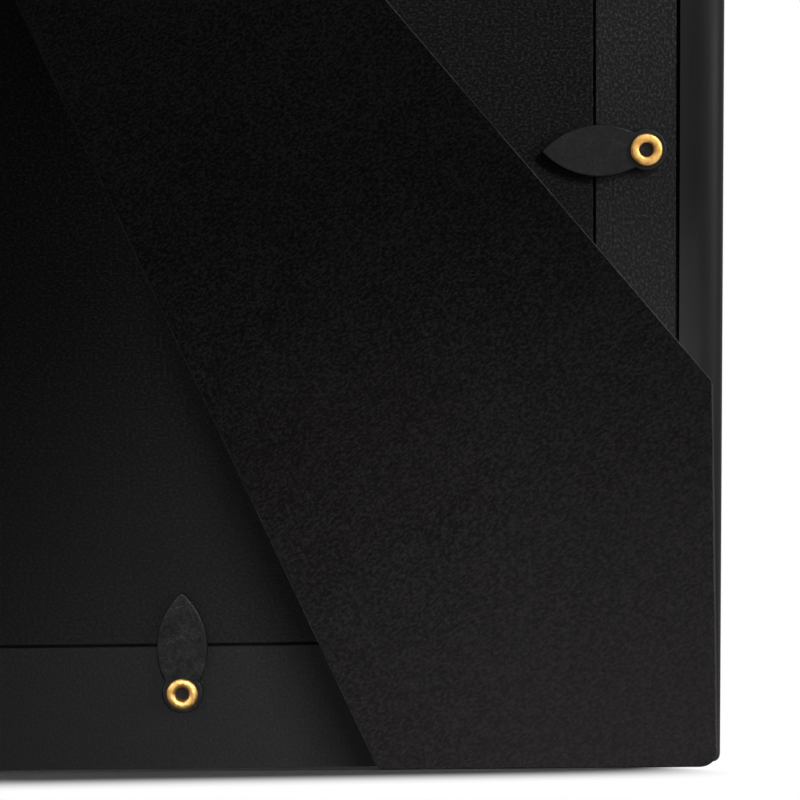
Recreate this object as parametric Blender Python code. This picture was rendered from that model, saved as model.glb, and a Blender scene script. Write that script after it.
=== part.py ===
"""Metal photo frame for a 13 x 18 cm picture, standing on its open easel strut.

Everything is built upright first: X to the right seen from the front, Y from the front to the
back with the back face of the frame at Y = 0, and Z up from the lower edge. The whole frame then
leans back about its lower back edge, so that this edge and the strut's foot stand at Z = 0.
"""
import math

import bmesh
import bpy
from mathutils import Matrix, Vector

# Clearances
GAP = 0.0003
SEAM = 0.0004
SHEET_PLAY = 0.0005
GROOVE = 0.0006
OVERRUN = 0.004
MERGE = 0.000001

# Frame and picture
PICTURE_WIDTH = 0.128
PICTURE_HEIGHT = 0.178
SIDE_MARGIN = 0.02
END_MARGIN = 0.0195
LEAN = math.radians(15.2)

# Metal rails
RAIL_WALL = 0.0012
RAIL_STRIP = 0.0071
RAIL_FACE = 0.0235
RAIL_BACK_RADIUS = 0.0024
RAIL_FRONT_RADIUS = 0.0015
RAIL_CHAMFER = 0.0009
RAIL_EDGE = 0.0002
KEY_WALL = 0.0012
KEY_LEG = 0.018
KEY_HEIGHT = 0.005

# Boards, sheets and glass
COVER_DEPTH = 0.003
LIP_DEPTH = 0.003
LIP_WIDTH = 0.003
GLASS = 0.002
PICTURE_SHEET = 0.0004
BACKING_CARD = 0.0015
DOOR = 0.0026
BOARD_EDGE = 0.0003

# Turn buttons and their eyelets
SIDE_BUTTON_INSET = 0.0125
SIDE_BUTTON_HEIGHT = 0.0961
END_BUTTON_INSET = 0.0124
END_BUTTON_OFFSET = 0.0008
BUTTON_TILT = math.radians(0.6)
LEAF_THICKNESS = 0.0012
LEAF_HALF_WIDTH = 0.0038
LEAF_WIDEST_AT = 0.0071
LEAF_ARC = 0.0121
LEAF_TIP_RADIUS = 0.00045
LEAF_HEAD_RADIUS = 0.0032
LEAF_EDGE = 0.0002
EYELET_FLANGE_RADIUS = 0.00245
EYELET_FLANGE_HEIGHT = 0.0006
EYELET_TUBE_RADIUS = 0.0015
EYELET_BORE_RADIUS = 0.00105
EYELET_DEPTH = 0.004

# Strut
STRUT_ACROSS = 0.018
STRUT_AXIS_HEIGHT = 0.15
STRUT_ANGLE = math.radians(32.9)
STRUT_OPENING = math.radians(24.0)
STRUT_BOARD = 0.0024
STRUT_HALF_WIDTH = 0.01784
STRUT_TAPER = math.radians(5.21)
STRUT_TOP = 0.0024
STRUT_SIDE_INSET = 0.0045
STRUT_TOP_RADIUS = 0.006
STRUT_FOOT_RADIUS = 0.001
STRUT_CORNER_RADIUS = 0.0018
STRUT_SIDE_RADIUS = 0.0008
STRUT_EDGE = 0.0002

# Hinge of the strut
HINGE_HALF_WIDTH = 0.012
HINGE_BARREL_RADIUS = 0.0015
HINGE_MIDDLE_HALF_WIDTH = 0.004
HINGE_PLATE = 0.0006
HINGE_DOOR_LEAF = 0.0095
HINGE_STRUT_LEAF = 0.0135
HINGE_STRUT_LEAF_HALF_WIDTH = 0.0095
HINGE_TONGUE = 0.0005
PIN_RADIUS = 0.0006
PIN_HEAD_RADIUS = 0.0011
PIN_HEAD = 0.0006
RIVET_RADIUS = 0.0009
RIVET_HEAD_RADIUS = 0.0017
RIVET_HEAD = 0.0007
DOOR_RIVET_ACROSS = 0.008
DOOR_RIVET_UP = 0.0058
STRUT_RIVET_ACROSS = 0.0058
STRUT_RIVET_DOWN = 0.0088

# Shares of the sizes that they follow
RIVET_DEPTH_SHARE = 0.65
FLANGE_EDGE_SHARE = 0.35

# Least angles between faces that make an edge sharp, and that take a rounded edge
SHARP_ANGLE = math.radians(35)
SOFT_ANGLE = math.radians(50)

# Steps round an arc
CORNER_STEPS = 5
LEAF_STEPS = 10
ROUND_STEPS = 24
SMALL_ROUND_STEPS = 20
DOME_STEPS = 5

# Colours
BLACK_METAL = (0.032, 0.031, 0.033, 1.0)
BLACK_PAPER = (0.015, 0.014, 0.015, 1.0)
BUTTON_METAL = (0.024, 0.024, 0.026, 1.0)
BRASS = (0.62, 0.42, 0.16, 1.0)
STEEL = (0.45, 0.45, 0.46, 1.0)
CLEAR = (0.90, 0.94, 0.92, 1.0)
WHITE_PAPER = (0.80, 0.79, 0.76, 1.0)
GREY_CARD = (0.34, 0.30, 0.25, 1.0)

# Sizes that follow from the ones above
WIDTH = PICTURE_WIDTH + 2 * SIDE_MARGIN
HEIGHT = PICTURE_HEIGHT + 2 * END_MARGIN
CARD_BACK = -(DOOR + GAP)
SHEET_BACK = CARD_BACK - BACKING_CARD - GAP
GLASS_BACK = SHEET_BACK - PICTURE_SHEET - GAP
LIP_BACK = GLASS_BACK - GLASS - GAP
RING_FRONT = LIP_BACK - LIP_DEPTH
FACE_BACK = RING_FRONT - GAP
FACE_FRONT = FACE_BACK - RAIL_WALL
MITRE_SHIFT = GAP / math.sqrt(2)
KEY_PLACE = RAIL_WALL + GAP
CORE_INSET = KEY_PLACE + KEY_WALL + GAP
LEAF_BACK = GAP + LEAF_THICKNESS
EYELET_SEAT = LEAF_BACK + GAP
AXIS_OUT = HINGE_BARREL_RADIUS + GAP
HINGE_BORE_RADIUS = PIN_RADIUS + GAP
RIVET_BORE_RADIUS = RIVET_RADIUS + GAP


def clear_scene():
    for item in list(bpy.data.objects):
        bpy.data.objects.remove(item, do_unlink=True)


def empty(name, parent, place, turn):
    item = bpy.data.objects.new(name, None)
    bpy.context.scene.collection.objects.link(item)
    item.parent = parent
    item.location = place
    item.rotation_euler = turn
    return item


def put(name, mesh, parent, place=(0.0, 0.0, 0.0), turn=(0.0, 0.0, 0.0)):
    item = bpy.data.objects.new(name, mesh)
    bpy.context.scene.collection.objects.link(item)
    item.parent = parent
    item.location = place
    item.rotation_euler = turn
    return item


def finish(item, colour, roughness, metallic, alpha=1.0):
    material = bpy.data.materials.new(item.name + "_finish")
    material.use_nodes = True
    shader = material.node_tree.nodes["Principled BSDF"]
    shader.inputs["Base Color"].default_value = colour
    shader.inputs["Roughness"].default_value = roughness
    shader.inputs["Metallic"].default_value = metallic
    shader.inputs["Alpha"].default_value = alpha
    item.data.materials.append(material)
    return item


def smooth(item):
    item.data.shade_smooth()
    item.data.set_sharp_from_angle(angle=SHARP_ANGLE)
    return item


def loft(name, first, last):
    """A closed solid between two outlines that have as many points."""
    mesh = bpy.data.meshes.new(name)
    work = bmesh.new()
    near = [work.verts.new(point) for point in first]
    far = [work.verts.new(point) for point in last]
    work.faces.new(near)
    work.faces.new(far)
    for index in range(len(near)):
        after = (index + 1) % len(near)
        work.faces.new((near[index], near[after], far[after], far[index]))
    bmesh.ops.recalc_face_normals(work, faces=work.faces)
    work.to_mesh(mesh)
    work.free()
    return mesh


def plate(name, outline, front, back):
    """An outline in X and Z, with its thickness along Y."""
    first = [Vector((x, front, z)) for x, z in outline]
    last = [Vector((x, back, z)) for x, z in outline]
    return loft(name, first, last)


def rectangle(left, right, low, high):
    return [(left, low), (right, low), (right, high), (left, high)]


def turned(name, profile, steps, axis="Y"):
    """A closed profile of radius and height, spun once round Y or X."""
    mesh = bpy.data.meshes.new(name)
    work = bmesh.new()
    rings = []
    for step in range(steps):
        angle = 2 * math.pi * step / steps
        ring = []
        for radius, height in profile:
            first = radius * math.cos(angle)
            second = radius * math.sin(angle)
            point = (first, height, second) if axis == "Y" else (height, first, second)
            ring.append(work.verts.new(point))
        rings.append(ring)
    for step in range(steps):
        ring = rings[step]
        following = rings[(step + 1) % steps]
        for index in range(len(profile)):
            after = (index + 1) % len(profile)
            work.faces.new((ring[index], ring[after], following[after], following[index]))
    bmesh.ops.remove_doubles(work, verts=work.verts, dist=MERGE)
    bmesh.ops.recalc_face_normals(work, faces=work.faces)
    work.to_mesh(mesh)
    work.free()
    return mesh


def disc(radius, steps):
    angles = [2 * math.pi * step / steps for step in range(steps)]
    return [(radius * math.cos(angle), radius * math.sin(angle)) for angle in angles]


def rounded(corners):
    """An outline whose corners are arcs. Each corner is x, z and its radius."""
    outline = []
    for index, (x, z, radius) in enumerate(corners):
        corner = Vector((x, z))
        before = Vector(corners[index - 1][:2])
        after = Vector(corners[(index + 1) % len(corners)][:2])
        back = (before - corner).normalized()
        ahead = (after - corner).normalized()
        half = back.angle(ahead) / 2
        centre = corner + (back + ahead).normalized() * (radius / math.sin(half))
        start = corner + back * (radius / math.tan(half)) - centre
        sweep = math.pi - 2 * half
        turn = 1 if back.x * ahead.y - back.y * ahead.x < 0 else -1
        for step in range(CORNER_STEPS + 1):
            spin = Matrix.Rotation(turn * sweep * step / CORNER_STEPS, 2)
            point = centre + spin @ start
            outline.append((point.x, point.y))
    return outline


def cut(item, name, mesh, parent, place=(0.0, 0.0, 0.0), turn=(0.0, 0.0, 0.0)):
    cutter = put(name, mesh, parent, place, turn)
    cutter.hide_render = True
    cutter.display_type = "WIRE"
    boolean = item.modifiers.new(name, "BOOLEAN")
    boolean.operation = "DIFFERENCE"
    boolean.object = cutter


def join(item, name, mesh, parent):
    other = put(name, mesh, parent)
    other.hide_render = True
    other.display_type = "WIRE"
    boolean = item.modifiers.new(name, "BOOLEAN")
    boolean.operation = "UNION"
    boolean.object = other


def soften(item, width, segments=2):
    bevel = item.modifiers.new("edges", "BEVEL")
    bevel.width = width
    bevel.segments = segments
    bevel.limit_method = "ANGLE"
    bevel.angle_limit = SOFT_ANGLE
    bevel.use_clamp_overlap = True


def arc(centre_x, centre_y, radius, start, end, steps=CORNER_STEPS):
    points = []
    for step in range(steps + 1):
        angle = start + (end - start) * step / steps
        points.append((centre_x + radius * math.cos(angle), centre_y + radius * math.sin(angle)))
    return points


def face_points():
    """The front of every rail's section: chamfered inner edge to the rounded outer edge."""
    points = [(RAIL_FACE, FACE_BACK), (RAIL_FACE, FACE_FRONT + RAIL_CHAMFER)]
    points.append((RAIL_FACE - RAIL_CHAMFER, FACE_FRONT))
    low = FACE_FRONT + RAIL_FRONT_RADIUS
    points += arc(RAIL_FRONT_RADIUS, low, RAIL_FRONT_RADIUS, 1.5 * math.pi, math.pi)
    return points


def side_rail_section():
    inner = RAIL_BACK_RADIUS - RAIL_WALL
    points = face_points()
    points += arc(RAIL_BACK_RADIUS, -RAIL_BACK_RADIUS, RAIL_BACK_RADIUS, math.pi, 0.5 * math.pi)
    points += [(RAIL_STRIP, 0.0), (RAIL_STRIP, -RAIL_WALL)]
    points += arc(RAIL_BACK_RADIUS, -RAIL_BACK_RADIUS, inner, 0.5 * math.pi, math.pi)
    points.append((RAIL_WALL, FACE_BACK))
    return points


def end_rail_section():
    top = -(COVER_DEPTH + GAP)
    return face_points() + [(0.0, top), (RAIL_WALL, top), (RAIL_WALL, FACE_BACK)]


def from_corner(points, side, end):
    """Points given by their distances from a side and an end of the frame, in X and Z."""
    outline = []
    for inward, along in points:
        x = side * (WIDTH / 2 - inward)
        z = along if end < 0 else HEIGHT - along
        outline.append((x, z))
    return outline


def mitre_wedge(side, end):
    """The outline of what a side rail leaves to the rail at one end."""
    reach = RAIL_FACE + OVERRUN
    corners = [(-OVERRUN, -OVERRUN), (reach, -OVERRUN), (reach, reach + MITRE_SHIFT)]
    corners.append((-OVERRUN, MITRE_SHIFT - OVERRUN))
    return from_corner(corners, side, end)


def side_rail(name, side, parent):
    section = side_rail_section()
    first = [Vector((side * (WIDTH / 2 - inward), depth, 0.0)) for inward, depth in section]
    last = [Vector((side * (WIDTH / 2 - inward), depth, HEIGHT)) for inward, depth in section]
    rail = put(name, loft(name, first, last), parent)
    for end, word in ((-1, "low"), (1, "high")):
        wedge = name + "_mitre_" + word
        mesh = plate(wedge, mitre_wedge(side, end), FACE_FRONT - OVERRUN, -COVER_DEPTH)
        cut(rail, wedge, mesh, parent)
    soften(rail, RAIL_EDGE, 1)
    return finish(smooth(rail), BLACK_METAL, 0.42, 0.6)


def end_rail(name, end, parent):
    first = []
    last = []
    for inward, depth in end_rail_section():
        z = inward if end < 0 else HEIGHT - inward
        reach = WIDTH / 2 - inward - MITRE_SHIFT
        first.append(Vector((-reach, depth, z)))
        last.append(Vector((reach, depth, z)))
    rail = put(name, loft(name, first, last), parent)
    return finish(smooth(rail), BLACK_METAL, 0.42, 0.6)


def corner_key(name, side, end, parent):
    """An angle of flat bar that holds two rails together inside their mitre."""
    near = KEY_PLACE
    far = KEY_PLACE + KEY_WALL
    reach = KEY_PLACE + KEY_LEG
    corners = [(near, near), (reach, near), (reach, far), (far, far), (far, reach), (near, reach)]
    low = FACE_BACK + GAP
    mesh = plate(name, from_corner(corners, side, end), low, low + KEY_HEIGHT)
    key = put(name, mesh, parent)
    return finish(key, STEEL, 0.35, 1.0)


def backing_ring(parent):
    """The covered board round the picture, cut out of one slab."""
    half = WIDTH / 2
    name = "backing_ring"
    core = half - CORE_INSET
    ring = put(name, plate(name, rectangle(-core, core, 0.0, HEIGHT), RING_FRONT, 0.0), parent)
    cover = half - RAIL_STRIP - GROOVE
    for side, word in ((-1, "left"), (1, "right")):
        outline = rectangle(side * cover, side * (half + OVERRUN), -OVERRUN, HEIGHT + OVERRUN)
        mesh = plate("ring_step_" + word, outline, -COVER_DEPTH, OVERRUN)
        cut(ring, "ring_step_" + word, mesh, parent)
    ends = (("low", -OVERRUN, CORE_INSET), ("high", HEIGHT - CORE_INSET, HEIGHT + OVERRUN))
    for word, low, high in ends:
        outline = rectangle(-half - OVERRUN, half + OVERRUN, low, high)
        mesh = plate("ring_step_" + word, outline, RING_FRONT - OVERRUN, -COVER_DEPTH)
        cut(ring, "ring_step_" + word, mesh, parent)
    open_half = PICTURE_WIDTH / 2
    opening = rectangle(-open_half, open_half, END_MARGIN, HEIGHT - END_MARGIN)
    cut(ring, "ring_opening", plate("ring_opening", opening, LIP_BACK, OVERRUN), parent)
    sight_half = open_half - LIP_WIDTH
    sight_low = END_MARGIN + LIP_WIDTH
    sight = rectangle(-sight_half, sight_half, sight_low, HEIGHT - sight_low)
    mesh = plate("ring_sight", sight, RING_FRONT - OVERRUN, LIP_BACK + OVERRUN)
    cut(ring, "ring_sight", mesh, parent)
    for word, place in button_places().items():
        bore = disc(EYELET_TUBE_RADIUS + GAP, SMALL_ROUND_STEPS)
        mesh = plate("ring_bore_" + word, bore, -(EYELET_DEPTH + GAP), OVERRUN)
        cut(ring, "ring_bore_" + word, mesh, parent, (place[0], 0.0, place[1]))
    soften(ring, BOARD_EDGE)
    return finish(ring, BLACK_PAPER, 0.7, 0.0)


def sheet(name, play, back, thickness, parent):
    """A sheet that lies in the opening of the ring, with its back at a given depth."""
    half = PICTURE_WIDTH / 2 - play
    low = END_MARGIN + play
    outline = rectangle(-half, half, low, HEIGHT - low)
    return put(name, plate(name, outline, back - thickness, back), parent)


def button_places():
    """Where each eyelet stands: X, Z and the way its leaf points."""
    side = WIDTH / 2 - SIDE_BUTTON_INSET
    return {
        "left": (-side, SIDE_BUTTON_HEIGHT, math.pi / 2 + BUTTON_TILT),
        "right": (side, SIDE_BUTTON_HEIGHT, -math.pi / 2),
        "bottom": (END_BUTTON_OFFSET, END_BUTTON_INSET, -BUTTON_TILT),
        "top": (-END_BUTTON_OFFSET, HEIGHT - END_BUTTON_INSET, math.pi),
    }


def leaf_outline():
    """Two equal arcs that meet at the tip, joined to a round head about the eyelet."""
    side = LEAF_ARC - LEAF_HALF_WIDTH
    tip = LEAF_WIDEST_AT + math.sqrt((LEAF_ARC - LEAF_TIP_RADIUS) ** 2 - side ** 2)
    tip_angle = math.atan2(tip - LEAF_WIDEST_AT, side)
    span = math.hypot(side, LEAF_WIDEST_AT)
    along = (LEAF_ARC ** 2 - LEAF_HEAD_RADIUS ** 2 + span ** 2) / (2 * span)
    opened = math.acos(along / LEAF_ARC)
    neck_angle = math.atan2(-LEAF_WIDEST_AT, side) + opened
    neck_x = -side + LEAF_ARC * math.cos(neck_angle)
    neck_z = LEAF_WIDEST_AT + LEAF_ARC * math.sin(neck_angle)
    head_angle = math.atan2(neck_z, neck_x)
    points = arc(-side, LEAF_WIDEST_AT, LEAF_ARC, neck_angle, tip_angle, LEAF_STEPS)
    points += arc(0.0, tip, LEAF_TIP_RADIUS, tip_angle, math.pi - tip_angle, CORNER_STEPS)[1:-1]
    points += [(-x, z) for x, z in reversed(points[:LEAF_STEPS + 1])]
    points += arc(0.0, 0.0, LEAF_HEAD_RADIUS, math.pi - head_angle, 2 * math.pi + head_angle,
                  ROUND_STEPS)[1:-1]
    return points


def turn_button(word, place, parent):
    name = "turn_button_" + word
    mesh = plate(name, leaf_outline(), GAP, LEAF_BACK)
    spot = (place[0], 0.0, place[1])
    turn = (0.0, place[2], 0.0)
    button = put(name, mesh, parent, spot, turn)
    bore = disc(EYELET_TUBE_RADIUS + GAP, SMALL_ROUND_STEPS)
    mesh = plate("button_bore_" + word, bore, GAP - OVERRUN, LEAF_BACK + OVERRUN)
    cut(button, "button_bore_" + word, mesh, parent, spot, turn)
    soften(button, LEAF_EDGE)
    return finish(button, BUTTON_METAL, 0.38, 0.7)


def eyelet(word, place, parent):
    """A tube through the button into the ring, with its end rolled over as a flange."""
    name = "eyelet_" + word
    middle = (EYELET_FLANGE_RADIUS + EYELET_BORE_RADIUS) / 2
    half = (EYELET_FLANGE_RADIUS - EYELET_BORE_RADIUS) / 2
    edge = EYELET_FLANGE_HEIGHT * FLANGE_EDGE_SHARE
    profile = [(EYELET_BORE_RADIUS, -EYELET_DEPTH), (EYELET_TUBE_RADIUS, -EYELET_DEPTH)]
    profile += [(EYELET_TUBE_RADIUS, EYELET_SEAT), (EYELET_FLANGE_RADIUS, EYELET_SEAT)]
    for step in range(DOME_STEPS + 1):
        angle = math.pi * step / DOME_STEPS
        rise = edge + (EYELET_FLANGE_HEIGHT - edge) * math.sin(angle)
        profile.append((middle + half * math.cos(angle), EYELET_SEAT + rise))
    item = put(name, turned(name, profile, ROUND_STEPS), parent, (place[0], 0.0, place[1]))
    return finish(smooth(item), BRASS, 0.3, 1.0)


def rivet(name, seat, end, parent, place):
    """A solid rivet: its domed head stands on the seat, its shank runs to the end."""
    profile = [(0.0, end), (RIVET_RADIUS, end), (RIVET_RADIUS, seat)]
    profile += [(RIVET_HEAD_RADIUS, seat)]
    for step in range(1, DOME_STEPS + 1):
        angle = math.pi / 2 * step / DOME_STEPS
        radius = RIVET_HEAD_RADIUS * math.cos(angle)
        profile.append((max(radius, 0.0), seat + RIVET_HEAD * math.sin(angle)))
    item = put(name, turned(name, profile, SMALL_ROUND_STEPS), parent, place)
    return finish(smooth(item), BLACK_METAL, 0.4, 0.8)


def rod(name, radius, low, high):
    """A solid round bar along X."""
    section = [(0.0, low), (radius, low), (radius, high), (0.0, high)]
    return turned(name, section, SMALL_ROUND_STEPS, "X")


def pin_bore(name):
    reach = HINGE_HALF_WIDTH + OVERRUN
    return rod(name, HINGE_BORE_RADIUS, -reach, reach)


def door_leaf(parent):
    """The hinge plate on the door, with a knuckle at each end of the pin."""
    name = "hinge_door_leaf"
    back = HINGE_PLATE - HINGE_BARREL_RADIUS
    outline = rectangle(-HINGE_HALF_WIDTH, HINGE_HALF_WIDTH, 0.0, HINGE_DOOR_LEAF)
    leaf = put(name, plate(name, outline, -HINGE_BARREL_RADIUS, back), parent)
    inner = HINGE_MIDDLE_HALF_WIDTH
    slot = rectangle(-inner, inner, -OVERRUN, HINGE_BARREL_RADIUS + GAP)
    mesh = plate("door_leaf_slot", slot, -HINGE_BARREL_RADIUS - OVERRUN, OVERRUN)
    cut(leaf, "door_leaf_slot", mesh, parent)
    for side, word in ((-1, "left"), (1, "right")):
        low, high = sorted((side * inner, side * HINGE_HALF_WIDTH))
        mesh = rod("door_knuckle_" + word, HINGE_BARREL_RADIUS, low, high)
        join(leaf, "door_knuckle_" + word, mesh, parent)
        bore = disc(RIVET_BORE_RADIUS, SMALL_ROUND_STEPS)
        mesh = plate("door_leaf_bore_" + word, bore, -HINGE_BARREL_RADIUS - OVERRUN, OVERRUN)
        place = (side * DOOR_RIVET_ACROSS, 0.0, DOOR_RIVET_UP)
        cut(leaf, "door_leaf_bore_" + word, mesh, parent, place)
    cut(leaf, "door_leaf_pin_bore", pin_bore("door_leaf_pin_bore"), parent)
    return finish(leaf, BLACK_METAL, 0.4, 0.8)


def strut_leaf(parent):
    """The hinge plate under the strut, with the middle knuckle and the tongue that stops it."""
    name = "hinge_strut_leaf"
    inner = HINGE_MIDDLE_HALF_WIDTH - GAP
    half = HINGE_STRUT_LEAF_HALF_WIDTH
    shoulder = -(HINGE_BARREL_RADIUS + GAP)
    low = shoulder - HINGE_STRUT_LEAF
    outline = [(-half, low), (half, low), (half, shoulder), (inner, shoulder), (inner, 0.0)]
    outline += [(-inner, 0.0), (-inner, shoulder), (-half, shoulder)]
    leaf = put(name, plate(name, outline, -(HINGE_PLATE + GAP), -GAP), parent)
    mesh = rod("strut_knuckle", HINGE_BARREL_RADIUS, -inner, inner)
    join(leaf, "strut_knuckle", mesh, parent)
    under = HINGE_BARREL_RADIUS - HINGE_TONGUE
    drop = HINGE_BARREL_RADIUS - HINGE_PLATE - GAP
    reach = (under * math.cos(STRUT_OPENING) + drop) / math.sin(STRUT_OPENING)
    tongue = plate("strut_tongue", rectangle(-inner, inner, 0.0, reach), under, HINGE_BARREL_RADIUS)
    join(leaf, "strut_tongue", tongue, parent)
    for side, word in ((-1, "left"), (1, "right")):
        bore = disc(RIVET_BORE_RADIUS, SMALL_ROUND_STEPS)
        mesh = plate("strut_leaf_bore_" + word, bore, -OVERRUN, OVERRUN)
        place = (side * STRUT_RIVET_ACROSS, 0.0, -STRUT_RIVET_DOWN)
        cut(leaf, "strut_leaf_bore_" + word, mesh, parent, place)
    cut(leaf, "strut_leaf_pin_bore", pin_bore("strut_leaf_pin_bore"), parent)
    return finish(leaf, BLACK_METAL, 0.4, 0.8)


def hinge_pin(parent):
    seat = HINGE_HALF_WIDTH + GAP
    end = seat + PIN_HEAD
    profile = [(0.0, -end), (PIN_HEAD_RADIUS, -end), (PIN_HEAD_RADIUS, -seat), (PIN_RADIUS, -seat)]
    profile += [(PIN_RADIUS, seat), (PIN_HEAD_RADIUS, seat), (PIN_HEAD_RADIUS, end), (0.0, end)]
    pin = put("hinge_pin", turned("hinge_pin", profile, SMALL_ROUND_STEPS, "X"), parent)
    return finish(smooth(pin), STEEL, 0.3, 1.0)


def strut_outline(depth, placing):
    """The strut's outline at one depth of its board. Its foot line lies on the table."""
    slope = math.tan(STRUT_TAPER)
    row = placing[2]
    foot_level = -(row[3] + row[1] * depth) / row[2]
    foot_slope = -row[0] / row[2]
    side_x = -(WIDTH / 2 - STRUT_SIDE_INSET)
    side_level = (side_x - STRUT_ACROSS) / math.sin(STRUT_ANGLE)
    side_slope = -1 / math.tan(STRUT_ANGLE)
    foot_x = (STRUT_HALF_WIDTH - slope * foot_level) / (1 + slope * foot_slope)
    corner_x = (side_level - foot_level) / (foot_slope - side_slope)
    wide_x = -(STRUT_HALF_WIDTH - slope * side_level) / (1 - slope * side_slope)
    top = STRUT_HALF_WIDTH + slope * STRUT_TOP
    corners = [
        (top, -STRUT_TOP, STRUT_TOP_RADIUS),
        (foot_x, foot_level + foot_slope * foot_x, STRUT_FOOT_RADIUS),
        (corner_x, foot_level + foot_slope * corner_x, STRUT_CORNER_RADIUS),
        (wide_x, side_level + side_slope * wide_x, STRUT_SIDE_RADIUS),
        (-top, -STRUT_TOP, STRUT_TOP_RADIUS),
    ]
    return [Vector((x, depth, z)) for x, z in rounded(corners)]


def strut_board(parent, placing):
    name = "strut_board"
    mesh = loft(name, strut_outline(0.0, placing), strut_outline(STRUT_BOARD, placing))
    board = put(name, mesh, parent)
    for side, word in ((-1, "left"), (1, "right")):
        bore = disc(RIVET_BORE_RADIUS, SMALL_ROUND_STEPS)
        mesh = plate("strut_bore_" + word, bore, -OVERRUN, STRUT_BOARD + OVERRUN)
        place = (side * STRUT_RIVET_ACROSS, 0.0, -STRUT_RIVET_DOWN)
        cut(board, "strut_bore_" + word, mesh, parent, place)
    soften(board, STRUT_EDGE, 1)
    return finish(board, BLACK_PAPER, 0.7, 0.0)


def door_panel(parent, hinge):
    door = sheet("door_panel", SEAM, 0.0, DOOR, parent)
    for side, word in ((-1, "left"), (1, "right")):
        bore = disc(RIVET_BORE_RADIUS, SMALL_ROUND_STEPS)
        depth = AXIS_OUT + DOOR * RIVET_DEPTH_SHARE + GAP
        mesh = plate("door_bore_" + word, bore, -depth, OVERRUN)
        place = (side * DOOR_RIVET_ACROSS, 0.0, DOOR_RIVET_UP)
        cut(door, "door_bore_" + word, mesh, hinge, place)
    soften(door, BOARD_EDGE)
    return finish(door, BLACK_PAPER, 0.7, 0.0)


def reach_along(axis):
    """The lowest and highest place of the finished solids along one world axis."""
    bpy.context.view_layer.update()
    graph = bpy.context.evaluated_depsgraph_get()
    places = []
    for item in bpy.data.objects:
        if item.type != "MESH" or item.hide_render:
            continue
        shape = item.evaluated_get(graph)
        places += [(item.matrix_world @ vertex.co)[axis] for vertex in shape.data.vertices]
    return min(places), max(places)


def build():
    clear_scene()
    root = empty("frame_lean", None, (0.0, 0.0, 0.0), (-LEAN, 0.0, 0.0))
    for side, word in ((-1, "left"), (1, "right")):
        side_rail("rail_" + word, side, root)
    for end, word in ((-1, "bottom"), (1, "top")):
        end_rail("rail_" + word, end, root)
        for side, hand in ((-1, "left"), (1, "right")):
            corner_key("corner_key_" + word + "_" + hand, side, end, root)

    backing_ring(root)
    glass = sheet("glass", SHEET_PLAY, GLASS_BACK, GLASS, root)
    finish(glass, CLEAR, 0.03, 0.0, 0.35)
    picture = sheet("picture_sheet", SHEET_PLAY, SHEET_BACK, PICTURE_SHEET, root)
    finish(picture, WHITE_PAPER, 0.6, 0.0)
    card = sheet("backing_card", SHEET_PLAY, CARD_BACK, BACKING_CARD, root)
    finish(card, GREY_CARD, 0.9, 0.0)

    for word, place in button_places().items():
        turn_button(word, place, root)
        eyelet(word, place, root)

    root.location.z -= reach_along(2)[0]
    hinge_place = (STRUT_ACROSS, AXIS_OUT, STRUT_AXIS_HEIGHT)
    hinge = empty("hinge_place", root, hinge_place, (0.0, STRUT_ANGLE, 0.0))
    swing = empty("strut_swing", hinge, (0.0, 0.0, 0.0), (STRUT_OPENING, 0.0, 0.0))
    bpy.context.view_layer.update()
    door_panel(root, hinge)
    door_leaf(hinge)
    hinge_pin(hinge)
    strut_leaf(swing)
    strut_board(swing, swing.matrix_world.copy())
    for side, word in ((-1, "left"), (1, "right")):
        seat = HINGE_PLATE - HINGE_BARREL_RADIUS + GAP
        end = -(AXIS_OUT + DOOR * RIVET_DEPTH_SHARE)
        place = (side * DOOR_RIVET_ACROSS, 0.0, DOOR_RIVET_UP)
        rivet("door_rivet_" + word, seat, end, hinge, place)
        seat = STRUT_BOARD + GAP
        end = -(HINGE_PLATE + GAP)
        place = (side * STRUT_RIVET_ACROSS, 0.0, -STRUT_RIVET_DOWN)
        rivet("strut_rivet_" + word, seat, end, swing, place)
    root.location.y -= sum(reach_along(1)) / 2
    bpy.context.view_layer.update()


build()
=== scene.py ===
"""The looks of the metal photo frame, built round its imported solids."""
import math

import bmesh
import bpy
from mathutils import Matrix, Vector, noise


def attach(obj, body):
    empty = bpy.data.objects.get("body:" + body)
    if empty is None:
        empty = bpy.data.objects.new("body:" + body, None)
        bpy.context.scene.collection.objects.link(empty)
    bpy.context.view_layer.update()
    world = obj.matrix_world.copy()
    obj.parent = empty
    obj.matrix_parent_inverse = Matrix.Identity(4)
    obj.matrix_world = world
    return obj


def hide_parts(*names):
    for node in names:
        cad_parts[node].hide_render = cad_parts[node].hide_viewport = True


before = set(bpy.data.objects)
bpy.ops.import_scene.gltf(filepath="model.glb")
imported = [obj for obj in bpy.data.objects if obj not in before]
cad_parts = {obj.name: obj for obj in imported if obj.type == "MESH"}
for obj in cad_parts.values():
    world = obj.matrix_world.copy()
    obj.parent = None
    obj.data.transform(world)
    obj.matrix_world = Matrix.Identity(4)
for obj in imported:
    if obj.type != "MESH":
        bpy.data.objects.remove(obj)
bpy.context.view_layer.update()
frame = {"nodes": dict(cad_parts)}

# Sizes of the frame, in metres
GAP = 0.0003
WIDTH = 0.168
HEIGHT = 0.217
COVER_DEPTH = 0.003
OVERRUN = 0.004

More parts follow.
